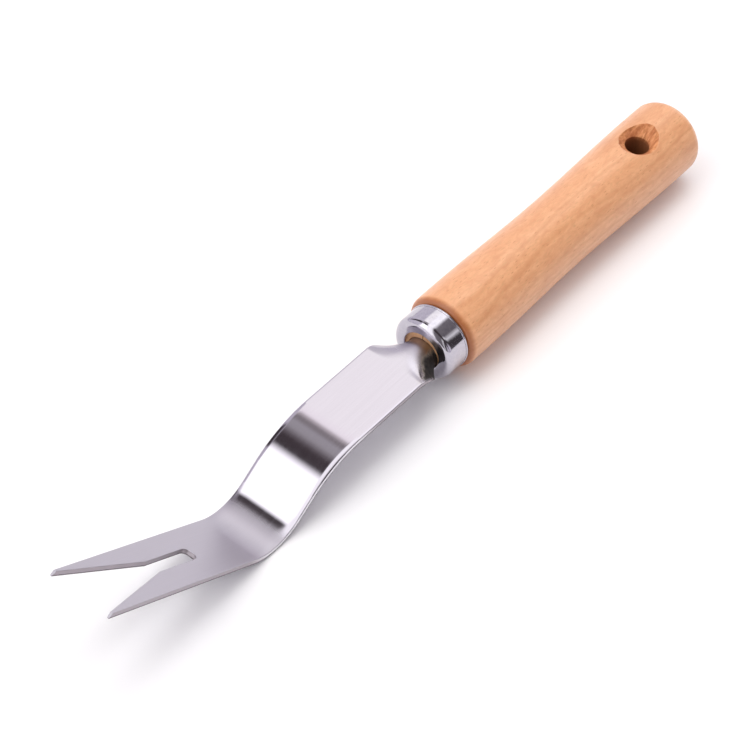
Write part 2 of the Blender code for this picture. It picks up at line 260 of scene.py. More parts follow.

# %% [markdown]
# A sheared edge has two zones. The upper part is burnished by the punch, and its pale colour is partly a
# painted highlight for the bright cloth it mirrors. Away from the bends it is painted darker grey, a
# painted reflection of the grip and other dark things. The lower part broke away, so it is rough, and its
# dark colour is partly painted shade, which draws a thin dark line round the whole blade.

# %% The burnished zone
burnished_and_highlit_edge, tree, shader = new_material("stainless_sheared_burnished_highlit")
spot = node(tree, "ShaderNodeTexCoord").outputs["Object"]
drag = node(tree, "ShaderNodeTexNoise", Vector=node(tree, "ShaderNodeMapping", Vector=spot,
            Scale=(1800, 1800, 200)).outputs[0], Scale=1.0, Detail=2.0).outputs[0]
# Pale colour of the burnished zone: partly its own burnish, partly a painted highlight for the bright cloth
# it mirrors.
bright = node(tree, "ShaderNodeValToRGB", {"stops": [
    (0.3, hex_colour("#E2DFE5")),
    (0.7, hex_colour("#EFEDF1")),
]}, Fac=drag).outputs[0]
local = node(tree, "ShaderNodeMapping", Vector=spot, Location=-HOME).outputs[0]
parts = node(tree, "ShaderNodeSeparateXYZ", Vector=local).outputs
# Painted reflection: outside the bends the edge is painted darker grey, where it mirrors the grip and other
# dark things.
reflection_band = band(tree, parts["X"], 56 * MM, 112 * MM, 7 * MM)
tone = node(tree, "ShaderNodeMix", {"data_type": "RGBA"}, Factor=reflection_band, in_6=hex_colour("#A8A0A6"),
            in_7=bright)
relief = node(tree, "ShaderNodeBump", Strength=0.2, Distance=0.05 * MM, Height=drag)
tree.links.new(tone.outputs[2], shader.inputs["Base Color"])
tree.links.new(relief.outputs[0], shader.inputs["Normal"])
shader.inputs["Metallic"].default_value = 1.0
shader.inputs["Roughness"].default_value = 0.42
print("sheared edge:", burnished_and_highlit_edge.name)

# %% The broken zone
broken_and_shaded_edge, tree, shader = new_material("stainless_sheared_broken_shaded")
spot = node(tree, "ShaderNodeTexCoord").outputs["Object"]
grains = node(tree, "ShaderNodeTexNoise", Vector=spot, Scale=2500.0, Detail=3.0).outputs[0]
# Dark colour of the broken zone: partly its own rough fracture, partly painted shade that draws the dark line
# along the bottom edge.
tone = node(tree, "ShaderNodeValToRGB", {"stops": [
    (0.3, hex_colour("#5E585C")),
    (0.7, hex_colour("#8A8488")),
]}, Fac=grains)
relief = node(tree, "ShaderNodeBump", Strength=0.4, Distance=0.05 * MM, Height=grains)
tree.links.new(tone.outputs[0], shader.inputs["Base Color"])
tree.links.new(relief.outputs[0], shader.inputs["Normal"])
shader.inputs["Metallic"].default_value = 1.0
shader.inputs["Roughness"].default_value = 0.5
print("sheared edge:", broken_and_shaded_edge.name)

# %% [markdown]
# ## Finish 2: bright nickel and chrome plate
# The ferrule is drawn steel with a thin bright plate. Plate is smoother and a little cooler than polished
# stainless, and it mirrors everything crisply. Only a faint orange-peel waviness, from the drawing of the
# cup, and light rub marks break the mirror.

# %% Bright plate
plate, tree, shader = new_material("nickel_chrome_bright_plate")
spot = node(tree, "ShaderNodeTexCoord").outputs["Object"]
peel = node(tree, "ShaderNodeTexNoise", Vector=spot, Scale=180.0, Detail=1.0).outputs[0]
marks = node(tree, "ShaderNodeTexNoise", Vector=spot, Scale=900.0, Detail=3.0).outputs[0]
rough = node(tree, "ShaderNodeMapRange", Value=marks, From_Min=0.4, From_Max=0.75, To_Min=0.08,
             To_Max=0.15)
tone = node(tree, "ShaderNodeValToRGB", {"stops": [
    (0.3, hex_colour("#B9B5BF")),
    (0.7, hex_colour("#C4C0C8")),
]}, Fac=marks)
ripple = node(tree, "ShaderNodeBump", Strength=0.2, Distance=0.1 * MM, Height=peel)
tree.links.new(tone.outputs[0], shader.inputs["Base Color"])
tree.links.new(rough.outputs[0], shader.inputs["Roughness"])
tree.links.new(ripple.outputs[0], shader.inputs["Normal"])
shader.inputs["Metallic"].default_value = 1.0
print("ferrule finish:", plate.name)

# %% [markdown]
# ## Finish 3: beech, turned, sanded and clear lacquered
# Beech is a pale, even, pinkish-tan wood. Its growth layers are a few millimetres thick and low in
# contrast. Its pores are too fine to see one by one, and show as short lines along the grain. Its rays
# show as many small darker flecks, up to a few millimetres long. The pattern here is solid, in three
# dimensions, as in real wood: it is stretched along x, the way the tree grew, and the lathe cuts through
# it. The layers are cylinders about a far-off heart of the tree. A clear lacquer is a thin coat with a soft
# gloss, and the turner's tool has burnished the wood to a darker orange beside the ferrule.

# %% Lacquered beech: grain
LAYER = 2.6 * MM
HEART = (0, 0.030, -0.050)
beech, tree, shader = new_material("beech_turned_clear_lacquered")
spot = node(tree, "ShaderNodeTexCoord").outputs["Object"]
local = node(tree, "ShaderNodeMapping", Vector=spot, Location=-HOME).outputs[0]
drift = node(tree, "ShaderNodeTexNoise", Vector=node(tree, "ShaderNodeMapping", Vector=local,
             Scale=(14, 70, 70)).outputs[0], Scale=1.0, Detail=3.0).outputs[0]
parts = node(tree, "ShaderNodeSeparateXYZ", Vector=local).outputs
across = node(tree, "ShaderNodeCombineXYZ", Y=parts["Y"], Z=parts["Z"]).outputs[0]
from_heart = node(tree, "ShaderNodeVectorMath", {"operation": "DISTANCE"}, in_0=across,
                  in_1=HEART).outputs["Value"]
bent = node(tree, "ShaderNodeMath", {"operation": "MULTIPLY_ADD"}, in_0=drift, in_1=0.012, in_2=from_heart)
layer = node(tree, "ShaderNodeMath", {"operation": "PINGPONG"}, in_0=bent.outputs[0], in_1=LAYER)
layer_share = node(tree, "ShaderNodeMath", {"operation": "DIVIDE"}, in_0=layer.outputs[0], in_1=LAYER)
pores = node(tree, "ShaderNodeTexNoise", Vector=node(tree, "ShaderNodeMapping", Vector=local,
             Scale=(420, 2300, 2300)).outputs[0], Scale=1.0, Detail=3.0).outputs[0]
flecks = node(tree, "ShaderNodeTexVoronoi", Vector=node(tree, "ShaderNodeMapping", Vector=local,
              Scale=(210, 900, 900)).outputs[0], Scale=1.0, Randomness=1.0)
mottle = node(tree, "ShaderNodeTexNoise", Vector=node(tree, "ShaderNodeMapping", Vector=local,
              Scale=(150, 400, 400)).outputs[0], Scale=1.0, Detail=6.0, Roughness=0.75,
              Distortion=0.6).outputs[0]
print("beech: layers", LAYER / MM, "mm, pores drawn 0.4 mm wide, flecks about 1 by 4 mm")

# %% Lacquered beech: colour
ground = node(tree, "ShaderNodeValToRGB", {"stops": [
    (0.0, hex_colour("#E6A97A")),
    (0.55, hex_colour("#EAAF81")),
    (1.0, hex_colour("#DFA171")),
]}, Fac=layer_share.outputs[0]).outputs[0]
clouds = node(tree, "ShaderNodeValToRGB", {"stops": [
    (0.35, hex_colour("#D9B49A")),
    (0.65, hex_colour("#FFFFFF")),
]}, Fac=mottle).outputs[0]
clouded = node(tree, "ShaderNodeMix", {"data_type": "RGBA", "blend_type": "MULTIPLY"}, Factor=0.45,
               in_6=ground, in_7=clouds).outputs[2]
pore_mask = node(tree, "ShaderNodeValToRGB", {"stops": [
    (0.30, hex_colour("#000000")),
    (0.46, hex_colour("#FFFFFF")),
]}, Fac=pores).outputs[0]
fleck_mask = node(tree, "ShaderNodeValToRGB", {"stops": [
    (0.08, hex_colour("#000000")),
    (0.20, hex_colour("#FFFFFF")),
]}, Fac=flecks.outputs["Distance"]).outputs[0]
lined = node(tree, "ShaderNodeMix", {"data_type": "RGBA"}, Factor=pore_mask, in_6=hex_colour("#D69D6E"),
             in_7=clouded).outputs[2]
marked = node(tree, "ShaderNodeMix", {"data_type": "RGBA"}, Factor=fleck_mask, in_6=hex_colour("#CB8C5B"),
              in_7=lined).outputs[2]

# %% Lacquered beech: the burnished ring and the gloss
singed = node(tree, "ShaderNodeMath", {"operation": "MULTIPLY_ADD"}, in_0=mottle, in_1=2.0 * MM,
              in_2=parts["X"]).outputs[0]
scorch = node(tree, "ShaderNodeMapRange", {"interpolation_type": "SMOOTHSTEP"}, Value=singed,
              From_Min=-1.7 * MM, From_Max=0.3 * MM, To_Min=0.0, To_Max=0.88).outputs[0]
burnished = node(tree, "ShaderNodeMix", {"data_type": "RGBA"}, Factor=scorch, in_6=marked,
                 in_7=hex_colour("#9E5524")).outputs[2]
rough = node(tree, "ShaderNodeMapRange", Value=pores, From_Min=0.3, From_Max=0.7, To_Min=0.48, To_Max=0.36)
relief = node(tree, "ShaderNodeBump", Strength=0.25, Distance=0.05 * MM, Height=pores)
tree.links.new(burnished, shader.inputs["Base Color"])
tree.links.new(rough.outputs[0], shader.inputs["Roughness"])
tree.links.new(relief.outputs[0], shader.inputs["Normal"])
shader.inputs["IOR"].default_value = 1.5
shader.inputs["Coat Weight"].default_value = 0.35
shader.inputs["Coat Roughness"].default_value = 0.22
print("beech:", len(tree.nodes), "nodes")

# %% [markdown]
# ## Finish 4: beech, drilled and left raw
# The hanging hole and its countersinks are cut across the grain after turning, so their walls are torn,
# fuzzy and darker than the lacquered outside. Deep in the bore the wood is painted a little browner, as
# painted shade. The end grain that shows inside the ferrule is painted paler, as painted light where the
# ferrule's lip shades it, and it has one drying crack.

# %% Raw beech
HOLE_X = -119.5 * MM
raw, tree, shader = new_material("beech_drilled_raw")
spot = node(tree, "ShaderNodeTexCoord").outputs["Object"]
local = node(tree, "ShaderNodeMapping", Vector=spot, Location=-HOME).outputs[0]
parts = node(tree, "ShaderNodeSeparateXYZ", Vector=local).outputs
fuzz = node(tree, "ShaderNodeTexNoise", Vector=node(tree, "ShaderNodeMapping", Vector=spot,
            Scale=(500, 1100, 350)).outputs[0], Scale=1.0, Detail=4.0, Distortion=0.4).outputs[0]
tear = node(tree, "ShaderNodeTexNoise", Vector=node(tree, "ShaderNodeMapping", Vector=spot,
            Scale=(180, 600, 180)).outputs[0], Scale=1.0, Detail=3.0).outputs[0]
tone = node(tree, "ShaderNodeValToRGB", {"stops": [
    (0.32, hex_colour("#BB7A4C")),
    (0.5, hex_colour("#D6915F")),
    (0.68, hex_colour("#E3A576")),
]}, Fac=fuzz).outputs[0]
shade = node(tree, "ShaderNodeValToRGB", {"stops": [
    (0.38, hex_colour("#B98058")),
    (0.6, hex_colour("#FFFFFF")),
]}, Fac=tear).outputs[0]
torn = node(tree, "ShaderNodeMix", {"data_type": "RGBA", "blend_type": "MULTIPLY"}, Factor=0.5, in_6=tone,
            in_7=shade).outputs[2]

# %% Raw beech: painted shade in the bore
flat = node(tree, "ShaderNodeCombineXYZ", X=parts["X"], Y=parts["Y"]).outputs[0]
to_bore = node(tree, "ShaderNodeVectorMath", {"operation": "DISTANCE"}, in_0=flat,
               in_1=(HOLE_X, 0, 0)).outputs["Value"]
depth = node(tree, "ShaderNodeMath", {"operation": "ABSOLUTE"}, in_0=parts["Z"]).outputs[0]
inside = node(tree, "ShaderNodeMapRange", Value=depth, From_Min=12.0 * MM, From_Max=9.5 * MM).outputs[0]
near = node(tree, "ShaderNodeMapRange", Value=to_bore, From_Min=8.0 * MM, From_Max=7.0 * MM).outputs[0]
# Painted shade: the bore is painted browner deep in the hole, where shade falls.
bore_shade_mask = node(tree, "ShaderNodeMath", {"operation": "MULTIPLY"}, in_0=inside, in_1=near).outputs[0]
bore_shaded = node(tree, "ShaderNodeMix", {"data_type": "RGBA"}, Factor=bore_shade_mask, in_6=torn,
               in_7=hex_colour("#8A5532")).outputs[2]

# %% Raw beech: the end grain, with painted light
# Painted light: the end grain inside the ferrule is painted paler where the ferrule's lip shades it.
front = node(tree, "ShaderNodeMapRange", Value=parts["X"], From_Min=9.2 * MM, From_Max=9.6 * MM).outputs[0]
end_grain_lit_colour = node(tree, "ShaderNodeMix", {"data_type": "RGBA"}, Factor=fuzz, in_6=hex_colour("#EBAA72"),
             in_7=hex_colour("#FFD5A8")).outputs[2]
with_end_grain_lit = node(tree, "ShaderNodeMix", {"data_type": "RGBA"}, Factor=front, in_6=bore_shaded,
            in_7=end_grain_lit_colour).outputs[2]
crack = band(tree, parts["Y"], -0.8 * MM, -0.5 * MM, 0.12 * MM)
split = node(tree, "ShaderNodeMath", {"operation": "MULTIPLY"}, in_0=crack, in_1=front).outputs[0]
cracked = node(tree, "ShaderNodeMix", {"data_type": "RGBA"}, Factor=split, in_6=with_end_grain_lit,
               in_7=hex_colour("#4A2813")).outputs[2]
relief = node(tree, "ShaderNodeBump", Strength=0.6, Distance=0.25 * MM, Height=fuzz)
tree.links.new(cracked, shader.inputs["Base Color"])
tree.links.new(relief.outputs[0], shader.inputs["Normal"])
shader.inputs["Roughness"].default_value = 0.75
print("raw beech:", len(tree.nodes), "nodes")

# %% [markdown]
# ## Finish 5: adhesive, filled and cured
# The tang is bedded in a dark, filled adhesive. It cures with a dull skin, gritty where wood dust fell in.

# %% Cured adhesive
bed, tree, shader = new_material("epoxy_filled_cured")
spot = node(tree, "ShaderNodeTexCoord").outputs["Object"]
grit = node(tree, "ShaderNodeTexNoise", Vector=spot, Scale=1500.0, Detail=4.0).outputs[0]
tone = node(tree, "ShaderNodeValToRGB", {"stops": [
    (0.35, hex_colour("#17110E")),
    (0.7, hex_colour("#4A3629")),
]}, Fac=grit)
relief = node(tree, "ShaderNodeBump", Strength=0.8, Distance=0.3 * MM, Height=grit)
tree.links.new(tone.outputs[0], shader.inputs["Base Color"])
tree.links.new(relief.outputs[0], shader.inputs["Normal"])
shader.inputs["Roughness"].default_value = 0.55
print("adhesive finish:", bed.name)

# %% [markdown]
# ## Piece 1: the blade
# A blade like this starts as a flat blank, stamped from strip with its slot, V notch, shoulders and tang.
# Tumbling rounds its edges, the tine tips are ground, and a press then bends it: down after the shoulders,
# and up again at the heel. The full width of the strip is rolled under at the neck, like a gutter, and goes
# into the socket as a half-round tang. It is modelled in the same order, because then every bend keeps the
# true flat lengths. First the numbers of the blank.

# %% The blank's numbers
SHEET = 2.0 * MM
HALF_WIDTH = 12.65 * MM
PLATE_HEIGHT = 4.0 * MM
UPPER_BEND_RADIUS = 39.7 * MM
LOWER_BEND_RADIUS = 19.9 * MM
DESCENT = math.radians(38.6)
FORK_RISE = math.radians(30.0)
FORK_LENGTH = 80.0 * MM
TANG_RADIUS, TANG_HALF, TANG_DROP = 5.6 * MM, 9.4 * MM, 0.6 * MM
TANG_AXIS = PLATE_HEIGHT - TANG_DROP - TANG_RADIUS
TANG_END = -46.0 * MM
ROLL_FROM, ROLL_TO = 27.0 * MM, 11.0 * MM
drop = PLATE_HEIGHT - (grip_low.z - grip_high.z) / 2 - SHEET / 2
in_bends = (UPPER_BEND_RADIUS + LOWER_BEND_RADIUS) * (1 - math.cos(DESCENT))
RUNS = (
    (60.3 * MM, 0.0),
    (UPPER_BEND_RADIUS * DESCENT, -DESCENT),
    ((drop - in_bends) / math.sin(DESCENT), 0.0),
    (LOWER_BEND_RADIUS * (DESCENT + FORK_RISE), DESCENT + FORK_RISE),
    (FORK_LENGTH, 0.0),
)
STRIP = sum(length for length, _ in RUNS)
TIP = STRIP - 0.035 * MM
print("the flat strip is", round(STRIP / MM, 1), "mm long in front of the grip")

# %% [markdown]
# The tips stop a few hundredths of a millimetre short of the strip's nominal end, so that their rounded
# edges stay inside the CAD box. The sheared edge is marked as burnished above a line and broken below it.

# %% Stamp, tumble and grind the blank
TUMBLED, BURNISH_LINE = 0.2 * MM, -0.45 * MM
GRIND_DIRECTION = Vector((2.0, 0, 1.3)).normalized()
SLOT_END, SLOT_MOUTH, SLOT_HALF = STRIP - 58.6 * MM, STRIP - 37.2 * MM, 3.0 * MM
SHOULDER_OUTER, SHOULDER_INNER, TIP_WIDTH = 17.0 * MM, 12.8 * MM, 0.8 * MM
half_blank = (
    (SLOT_END, SLOT_HALF, 2.0 * MM),
    (SLOT_MOUTH, SLOT_HALF, 0.0),
    (TIP, HALF_WIDTH - TIP_WIDTH, 0.3 * MM),
    (TIP, HALF_WIDTH, 0.3 * MM),
    (SHOULDER_OUTER, HALF_WIDTH, 0.8 * MM),
    (SHOULDER_INNER, TANG_HALF, 2.0 * MM),
    (TANG_END, TANG_HALF, 2.0 * MM),
)
blank = section([*half_blank, *((u, -v, radius) for u, v, radius in reversed(half_blank))])
bmesh.ops.translate(blank, verts=blank.verts, vec=(0, 0, -SHEET / 2))
raised = bmesh.ops.extrude_face_region(blank, geom=blank.faces[:])["geom"]
bmesh.ops.translate(blank, verts=[item for item in raised if isinstance(item, bmesh.types.BMVert)],
                    vec=(0, 0, SHEET))
bmesh.ops.recalc_face_normals(blank, faces=blank.faces)
rims = [edge for edge in blank.edges if abs(edge.verts[0].co.z - edge.verts[1].co.z) < SHEET / 2]
bmesh.ops.bevel(blank, geom=rims, offset=TUMBLED, segments=3, profile=0.5, affect="EDGES", material=-1,
                clamp_overlap=True)
bmesh.ops.bisect_plane(blank, geom=[*blank.verts, *blank.edges, *blank.faces], dist=1e-7, clear_outer=True,
                       plane_co=(STRIP, 0, -0.8 * MM), plane_no=GRIND_DIRECTION)
bmesh.ops.holes_fill(blank, edges=[edge for edge in blank.edges if edge.is_boundary], sides=0)
bmesh.ops.bisect_plane(blank, geom=[*blank.verts, *blank.edges, *blank.faces], dist=1e-7,
                       plane_co=(0, 0, BURNISH_LINE), plane_no=(0, 0, 1))
for face in blank.faces:
    face.normal_update()
    if face.normal.z < 0.3 and face.normal.z > -0.98:
        face.material_index = 1 if face.calc_center_median().z > BURNISH_LINE else 2
print("the blank has", len(blank.faces), "faces")

# %% [markdown]
# A flat face can't bend, so the blank is scored where it will: a line for each degree of bend, and lines
# along and across the neck where the tang is rolled. `press` is the press tool: it carries a point of the
# flat blank to its place on the bent centre line, and rolls it under more and more tightly at the neck.

# %% Score and press
def score(axis, places, ahead=-math.inf, behind=math.inf):
    """Cut lines into the blank, square to an axis, without taking anything away."""
    for place in places:
        faces = [face for face in blank.faces if max(vert.co.x for vert in face.verts) < behind
                 and min(vert.co.x for vert in face.verts) > ahead]
        around = {item for face in faces for item in (*face.verts, *face.edges)}
        point = [0, 0, 0]
        point[axis] = place
        bmesh.ops.bisect_plane(blank, geom=[*around, *faces], dist=1e-7, plane_co=point,
                               plane_no=[float(axis == number) for number in range(3)])


def press(point):
    """Carry a point of the flat blank into the pressed blade."""
    u, v, height = point
    x, z, slope = 0.0, PLATE_HEIGHT, 0.0
    for index, (length, angle) in enumerate(RUNS):
        here = u if index == len(RUNS) - 1 or u < length else length
        if angle:
            radius = length / angle
            x += radius * (math.sin(slope + here / radius) - math.sin(slope))
            z -= radius * (math.cos(slope + here / radius) - math.cos(slope))
            slope += here / radius
        else:
            x += here * math.cos(slope)
            z += here * math.sin(slope)
        u -= here
        if u <= 0:
            break
    rolled = min(max((ROLL_FROM - point.x) / (ROLL_FROM - ROLL_TO), 0.0), 1.0)
    curve = rolled**1.7 / TANG_RADIUS
    z -= TANG_DROP * rolled * rolled
    if curve > 1e-6:
        radius = 1 / curve + height
        return Vector((x, radius * math.sin(v * curve), z - 1 / curve + radius * math.cos(v * curve)))
    return Vector((x - height * math.sin(slope), v, z + height * math.cos(slope)))


# %% [markdown]
# The long upper edges of the real blade are eased, most of all at the two bends, probably by the polishing
# wheel. `wheel` says how far the top surface is lowered towards those edges: a few hundredths of a millimetre
# along the flats, and up to a third of a millimetre in the middle of a bend.

# %% Ease the long edges
UPPER_EASED_AT, UPPER_EASED_REACH = 73.5 * MM, 23 * MM
HEEL_EASED_AT, HEEL_EASED_REACH = 105.0 * MM, 13 * MM


def closeness(x, middle, reach):
    """1 in the middle of a bend, falling as a cosine to 0 at its reach."""
    if abs(x - middle) >= reach:
        return 0.0
    return max(math.cos((x - middle) / (2 * reach) * math.pi), 0.0)


def wheel(point):
    """How much of the top surface the polishing wheel took off near a long edge."""
    upper = closeness(point.x, UPPER_EASED_AT, UPPER_EASED_REACH)
    lower = closeness(point.x, HEEL_EASED_AT, HEEL_EASED_REACH)
    width = (0.7 + 1.5 * upper + 4.3 * lower) * MM
    depth = (0.05 + 0.28 * upper + 0.27 * lower) * MM
    share = max((abs(point.y) - HALF_WIDTH + width) / width, 0.0)
    return depth * share * share


# %% Make the blade
TOP_ROWS_ABOVE = 0.3 * MM
begin = 0.0
for length, angle in RUNS:
    if angle:
        count = math.ceil(abs(math.degrees(angle)))
        score(0, [begin + length * step / count for step in range(count + 1)])
    begin += length
score(0, [ROLL_TO + (ROLL_FROM - ROLL_TO) * step / 32 for step in range(33)])
score(1, [HALF_WIDTH * (step / 28 - 1) for step in range(1, 56)], behind=ROLL_FROM + MM / 100)
edge_rows = [row * MM for row in (7.8, 8.7, 9.6, 10.4, 10.8, 11.2, 11.55, 11.85, 12.1, 12.3)]
score(1, edge_rows + [-row for row in edge_rows], ahead=ROLL_FROM - MM / 100)
for vert in blank.verts:
    if vert.co.z > TOP_ROWS_ABOVE and vert.co.x > ROLL_FROM:
        vert.co.z -= wheel(vert.co)
    vert.co = press(vert.co)
blade = to_mesh(blank, "blade_pressed", sharp=50)
weighting = blade.modifiers.new("even_flats", "WEIGHTED_NORMAL")
weighting.keep_sharp = True
weighting.weight = 100
hand_over(blade, "blade", "polished_stainless", steel, burnished_and_highlit_edge, broken_and_shaded_edge)

# %% [markdown]
# ## Piece 2: the ferrule
# A ferrule keeps the wood from splitting where the tang levers against it. This one is drawn from thin
# steel into a cup with a round front edge, a lip turned in round its mouth, and a small bead near the rear.
# It is a body of revolution, so its section is drawn once and turned.

# %% Draw the ferrule
FERRULE_RADIUS, FERRULE_LENGTH, WALL, LIP = 13.0 * MM, 10.9 * MM, 0.9 * MM, 7.7 * MM
REAR_EDGE, BEAD_RADIUS = 0.3 * MM, FERRULE_RADIUS + 0.29 * MM
NOSE_ROUND, NOSE_ROUND_INSIDE, LIP_ROUND = 2.8 * MM, 1.9 * MM, 0.44 * MM
ferrule = to_mesh(turn((
    (REAR_EDGE, FERRULE_RADIUS, 0.08 * MM),
    (0.55 * MM, FERRULE_RADIUS, 0.0),
    (0.65 * MM, BEAD_RADIUS, 0.15 * MM),
    (1.15 * MM, BEAD_RADIUS, 0.15 * MM),
    (1.25 * MM, FERRULE_RADIUS, 0.0),
    (FERRULE_LENGTH, FERRULE_RADIUS, NOSE_ROUND),
    (FERRULE_LENGTH, LIP, LIP_ROUND),
    (FERRULE_LENGTH - WALL, LIP, LIP_ROUND),
    (FERRULE_LENGTH - WALL, FERRULE_RADIUS - WALL, NOSE_ROUND_INSIDE),
    (REAR_EDGE, FERRULE_RADIUS - WALL, 0.0),
), 180), "ferrule_drawn")
hand_over(ferrule, "ferrule", "bright_plate", plate)

# %% [markdown]
# ## Piece 3: the grip
# The grip is turned between centres: round butt, a gentle waist for the fingers, a soft front shoulder, and
# a bevelled tenon that the ferrule fits over. The long hourglass is a cosine ease, sampled every millimetre.

# %% The grip's hourglass
FRONT_RADIUS, WAIST_RADIUS, BUTT_RADIUS = 15.0 * MM, 14.15 * MM, 15.4 * MM
WAIST_X = -68.0 * MM


def grip_radius(x):
    """Radius of the hourglass at a place x, which is negative behind the front shoulder."""
    if x > WAIST_X:
        share, wide = (-14.0 * MM - x) / (54.0 * MM), FRONT_RADIUS
    else:
        share, wide = (x + 134.0 * MM) / (66.0 * MM), BUTT_RADIUS
    ease = (1 - math.cos(math.pi * min(max(share, 0.0), 1.0))) / 2
    return wide + (WAIST_RADIUS - wide) * ease


print("waist of the grip:", round(2 * grip_radius(WAIST_X) / MM, 1), "mm across")

# %% Turn the grip
TENON_END, TENON_RADIUS = 9.7 * MM, 11.7 * MM
body = [(-x * MM, grip_radius(-x * MM), 0.0) for x in range(4, 141)]
grip_shell = turn((
    (TENON_END, 0.0, 0.0),
    (TENON_END, 10.3 * MM, 0.2 * MM),
    (8.3 * MM, TENON_RADIUS, 0.2 * MM),
    (0.0, TENON_RADIUS, 0.0),
    (0.0, FRONT_RADIUS, 3.0 * MM),
    *body,
    (-GRIP_LENGTH, BUTT_RADIUS, 5.0 * MM),
    (-GRIP_LENGTH, 0.0, 0.0),
), 192)
for face in grip_shell.faces:
    face.material_index = 1 if face.calc_center_median().x > 0.2 * MM else 0
grip = to_mesh(grip_shell, "grip_turned")

# %% [markdown]
# The hanging hole is drilled through, a little off square, and opened at both mouths with a countersink.
# A blunt cutter tears the grain, so the cutter's cones get a rough skin: noise pushes their points in and
# out by a few tenths of a millimetre, along the grain more than across it. A Boolean then takes the
# cutter's shape out of the grip, and the cut faces keep the second finish, raw wood.

# %% The cutter for the hanging hole
HOLE_RADIUS, SINK_RADIUS, SINK_DEPTH = 4.8 * MM, 9.4 * MM, 4.0 * MM
HOLE_LEAN = math.radians(-3.9)
reach = BUTT_RADIUS + MM
flare = (SINK_RADIUS - HOLE_RADIUS) / SINK_DEPTH
neck_at = BUTT_RADIUS - SINK_DEPTH
slope_steps = [(reach - neck_at) * step / 24 for step in range(25)]
slope_rows = [(neck_at + step, HOLE_RADIUS + flare * step, 0.0) for step in slope_steps]
bore_rows = [(neck_at * step / 12, HOLE_RADIUS, 0.0) for step in range(-11, 12)]
cutter_rows = [(-reach, 0.0, 0.0), *((-x, radius, 0.0) for x, radius, _ in reversed(slope_rows)), *bore_rows,
               *slope_rows, (reach, 0.0, 0.0)]
cutter_shell = turn(cutter_rows, 160)
print("the cutter has", len(cutter_shell.verts), "points")

# %% Roughen the cutter and set it in place
for vert in cutter_shell.verts:
    away = math.hypot(vert.co.y, vert.co.z)
    if away > 1e-6:
        depth = (abs(vert.co.x) - neck_at) / SINK_DEPTH
        rough_by = (0.05 + 0.3 * min(max(depth, 0.0), 1.0)) * MM
        spread = noise.fractal(Vector((vert.co.x * 350, vert.co.y * 520, vert.co.z * 260)), 0.8, 2.0, 3)
        push = rough_by * spread / away
        vert.co.y += vert.co.y * push
        vert.co.z += vert.co.z * push
lean = Matrix.Rotation(HOLE_LEAN, 4, "X") @ Matrix.Rotation(-math.pi / 2, 4, "Y")
bmesh.ops.transform(cutter_shell, matrix=Matrix.Translation((HOLE_X, 0, 0)) @ lean, verts=cutter_shell.verts)
for face in cutter_shell.faces:
    face.material_index = 1
hole_cutter = to_mesh(cutter_shell, "hole_cutter")

# %% [markdown]
# The socket is drilled a little below the middle, so that the arch of the rolled tang fills its upper half
# and the flat of the blade comes close to the axis. Its cutter is a plain cylinder with a drill point.

# %% The drill for the socket
CLEARANCE = 0.3 * MM
SOCKET_RADIUS = TANG_RADIUS + SHEET / 2 + CLEARANCE
drill_shell = turn(((-50.0 * MM, 0.0, 0.0), (-48.0 * MM, SOCKET_RADIUS, 0.0), (10.7 * MM, SOCKET_RADIUS, 0.0),
                    (10.7 * MM, 0.0, 0.0)), 128)
bmesh.ops.translate(drill_shell, verts=drill_shell.verts, vec=(0, 0, TANG_AXIS))
for face in drill_shell.faces:
    face.material_index = 1
socket_cutter = to_mesh(drill_shell, "socket_cutter")
print("the socket is", round(2 * SOCKET_RADIUS / MM, 1), "mm across")

# %% Take both cuts
for piece in (grip, hole_cutter, socket_cutter):
    piece.data.materials.append(beech)
    piece.data.materials.append(raw)
for cutter in (hole_cutter, socket_cutter):
    drilling = grip.modifiers.new("drill", "BOOLEAN")
    drilling.operation = "DIFFERENCE"
    drilling.solver = "EXACT"
    drilling.object = cutter
drilled = bpy.data.meshes.new_from_object(grip.evaluated_get(bpy.context.evaluated_depsgraph_get()))
grip.modifiers.clear()
grip.data = drilled
for cutter in (hole_cutter, socket_cutter):
    bpy.data.objects.remove(cutter, do_unlink=True)
hand_over(grip, "grip", "lacquered_beech", beech, raw)
print("raw faces in the grip:", sum(face.material_index == 1 for face in drilled.polygons))

# %% [markdown]
# ## Piece 4: the adhesive
# The adhesive fills what the arched tang leaves of the round socket: the part below the tang's edges, and a
# round core inside its arch. Only its front can be seen, from below, inside the mouth of the ferrule.

# %% Pour the adhesive
low, core, ledge = SOCKET_RADIUS - CLEARANCE, TANG_RADIUS - SHEET / 2 - CLEARANCE, -1.1 * MM
BED_START, BED_LENGTH = -47.7 * MM, 56.4 * MM
pour = section((
    (-low + 0.1 * MM, ledge, 0.0),
    (-low, -low, low + ledge),
    (low, -low, low + ledge),
    (low - 0.1 * MM, ledge, 0.0),
    (core, ledge, 0.0),
    (core, core, core - 0.1 * MM),
    (-core, core, core - 0.1 * MM),
    (-core, ledge, 0.0),
))
stand = Matrix(((0, 0, 1, BED_START), (1, 0, 0, 0), (0, 1, 0, TANG_AXIS), (0, 0, 0, 1)))
bmesh.ops.transform(pour, matrix=stand, verts=pour.verts)
poured = bmesh.ops.extrude_face_region(pour, geom=pour.faces[:])["geom"]
bmesh.ops.translate(pour, verts=[item for item in poured if isinstance(item, bmesh.types.BMVert)],
                    vec=(BED_LENGTH, 0, 0))
bedding = to_mesh(pour, "adhesive_bed")
hand_over(bedding, "tang_bedding", "set_adhesive", bed)

